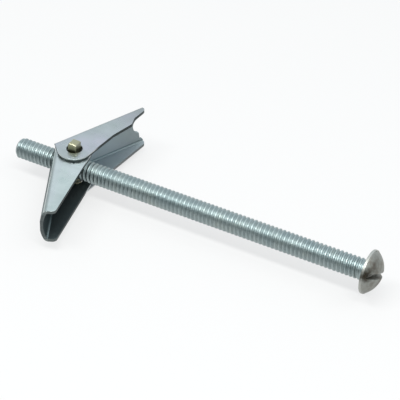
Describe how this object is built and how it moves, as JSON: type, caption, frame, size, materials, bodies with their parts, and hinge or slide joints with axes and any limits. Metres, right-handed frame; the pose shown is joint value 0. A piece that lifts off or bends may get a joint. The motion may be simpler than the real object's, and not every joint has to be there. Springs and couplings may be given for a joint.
{
  "type": "spring toggle bolt",
  "caption": "Hollow-wall fastener: long slotted mushroom-head screw, trunnion nut and two spring-opened folded sheet wings that fold along the screw.",
  "frame": {"origin": "on the screw's axis, in the plane of the seat under the head", "axes": "+X along the screw from its tail to its head, +Z along the nut's lugs (the wings' hinge line), +Y towards the outer wing"},
  "size_m": [0.1172, 0.0563, 0.018],
  "materials": {
    "screw_zinc": "clear zinc plate, bright thread, satin head",
    "nut_yellow_zinc": "yellow-passivated zinc plate",
    "wing_zinc": "clear zinc plate, bluish, smooth",
    "spring_wire": "drawn spring wire"
  },
  "bodies": {
    "screw": {"machine_screw": "screw_zinc"},
    "nut": {"trunnion_nut": "nut_yellow_zinc", "torsion_spring": "spring_wire"},
    "outer_wing": {"outer_wing": "wing_zinc"},
    "inner_wing": {"inner_wing": "wing_zinc"}
  },
  "joints": [
    {"name": "nut_travel", "type": "slide", "parent": "screw", "child": "nut", "axis": [1, 0, 0], "range_m": [-0.014, 0.06]},
    {"name": "outer_hinge", "type": "hinge", "parent": "nut", "child": "outer_wing", "pos_m": [-0.094, 0, 0], "axis": [0, 0, -1], "range_deg": [0, 69], "stiffness_Nm_per_rad": 0.012, "springref_deg": -34.38, "deforming": ["torsion_spring"]},
    {"name": "inner_hinge", "type": "hinge", "parent": "nut", "child": "inner_wing", "pos_m": [-0.094, 0, 0], "axis": [0, 0, 1], "range_deg": [0, 69], "stiffness_Nm_per_rad": 0.012, "springref_deg": -34.38, "deforming": ["torsion_spring"]}
  ]
}
